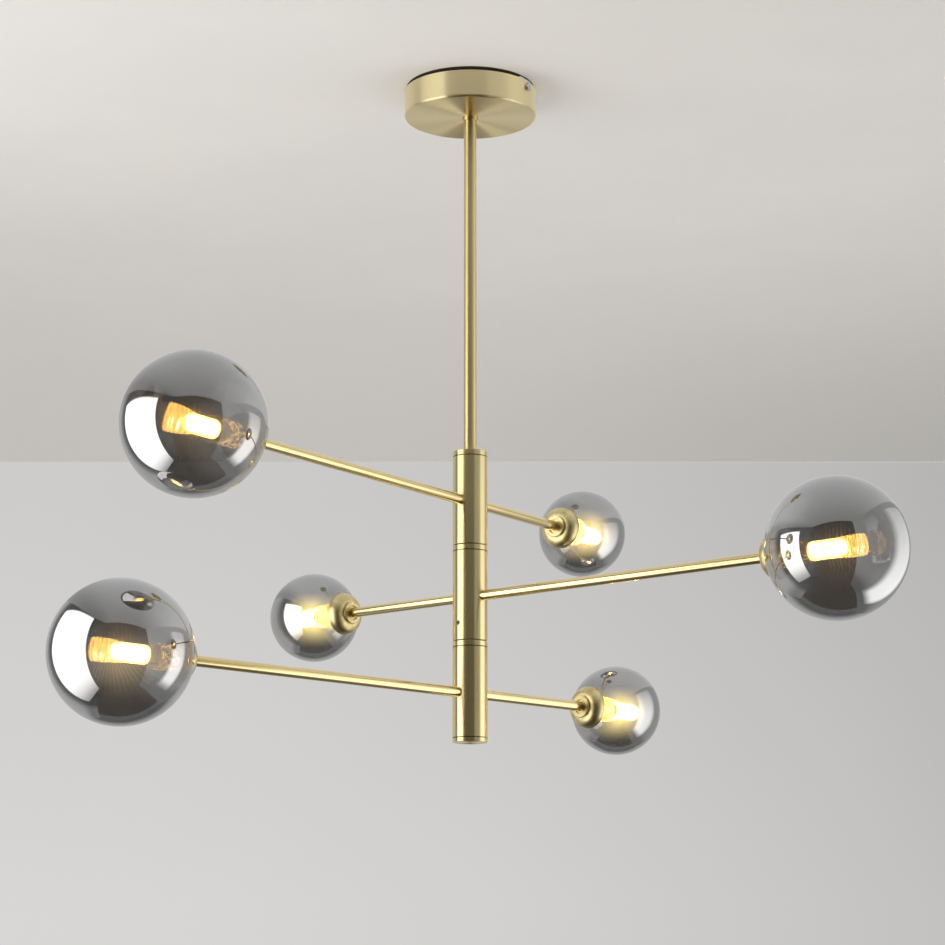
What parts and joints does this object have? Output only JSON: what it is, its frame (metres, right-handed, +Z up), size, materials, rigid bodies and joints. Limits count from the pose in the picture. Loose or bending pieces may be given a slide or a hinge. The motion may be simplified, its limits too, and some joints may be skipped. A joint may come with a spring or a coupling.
{
  "type": "ceiling light",
  "caption": "Brass ceiling light on a rigid rod, with three stacked turning arms that end in smoked mirror glass globes, large on the long side and small on the short side.",
  "frame": {"origin": "centre of the crossbar's face on the ceiling, on the rod's axis", "axes": "+Z up into the ceiling, along the rod; -Y towards the viewer of the picture; +X to the viewer's right"},
  "size_m": [0.7028, 0.6028, 0.6388],
  "materials": {
    "satin_brass": "satin, fine brushing",
    "bright_brass": "polished, fine brushing",
    "steel": "zinc plated",
    "dark_steel": "blackened",
    "nylon": "moulded nylon",
    "ceramic": "glazed ceramic",
    "warm_glass": "clear, lit warm white",
    "smoked_glass": "smoke grey, half mirrored"
  },
  "bodies": {
    "ceiling_mount": {"ceiling_bracket": "steel", "canopy": "satin_brass", "side_screws": "steel", "terminal_block": "ceramic", "earth_screw": "steel", "rod_nut": "steel", "rod_collar": "bright_brass", "downrod": "bright_brass", "rod_end_nut": "steel"},
    "upper_tier": {"upper_cap": "satin_brass", "upper_sleeve": "satin_brass", "upper_hub": "bright_brass", "upper_plug": "bright_brass", "upper_set_screw": "dark_steel", "upper_long_arm": "bright_brass", "upper_short_arm": "bright_brass", "upper_cups": "satin_brass", "upper_shade_sleeves": "bright_brass", "upper_lampholders": "ceramic", "upper_bulb_bases": "ceramic", "upper_bulbs": "warm_glass", "upper_long_globe": "smoked_glass", "upper_short_globe": "smoked_glass"},
    "middle_tier": {"middle_cap": "satin_brass", "middle_sleeve": "satin_brass", "middle_hub": "bright_brass", "middle_plug": "bright_brass", "middle_set_screw": "dark_steel", "middle_long_arm": "bright_brass", "middle_short_arm": "bright_brass", "middle_cups": "satin_brass", "middle_shade_sleeves": "bright_brass", "middle_lampholders": "ceramic", "middle_bulb_bases": "ceramic", "middle_bulbs": "warm_glass", "middle_long_globe": "smoked_glass", "middle_short_globe": "smoked_glass", "middle_spindle": "steel", "middle_spindle_nut": "steel", "middle_thrust_washer": "nylon"},
    "lower_tier": {"lower_cap": "satin_brass", "lower_sleeve": "satin_brass", "lower_hub": "bright_brass", "lower_foot_cap": "satin_brass", "lower_set_screw": "dark_steel", "lower_long_arm": "bright_brass", "lower_short_arm": "bright_brass", "lower_cups": "satin_brass", "lower_shade_sleeves": "bright_brass", "lower_lampholders": "ceramic", "lower_bulb_bases": "ceramic", "lower_bulbs": "warm_glass", "lower_long_globe": "smoked_glass", "lower_short_globe": "smoked_glass", "lower_spindle": "steel", "lower_spindle_nut": "steel", "lower_thrust_washer": "nylon"}
  },
  "joints": [
    {"name": "upper_swivel", "type": "hinge", "parent": "ceiling_mount", "child": "upper_tier", "pos_m": [0, 0, -0.354], "axis": [0, 0, 1], "range_deg": [-170, 170]},
    {"name": "middle_swivel", "type": "hinge", "parent": "upper_tier", "child": "middle_tier", "pos_m": [0, 0, -0.4424], "axis": [0, 0, 1], "range_deg": [-66, 170]},
    {"name": "lower_swivel", "type": "hinge", "parent": "middle_tier", "child": "lower_tier", "pos_m": [0, 0, -0.5312], "axis": [0, 0, 1], "range_deg": [-170, 78]}
  ]
}
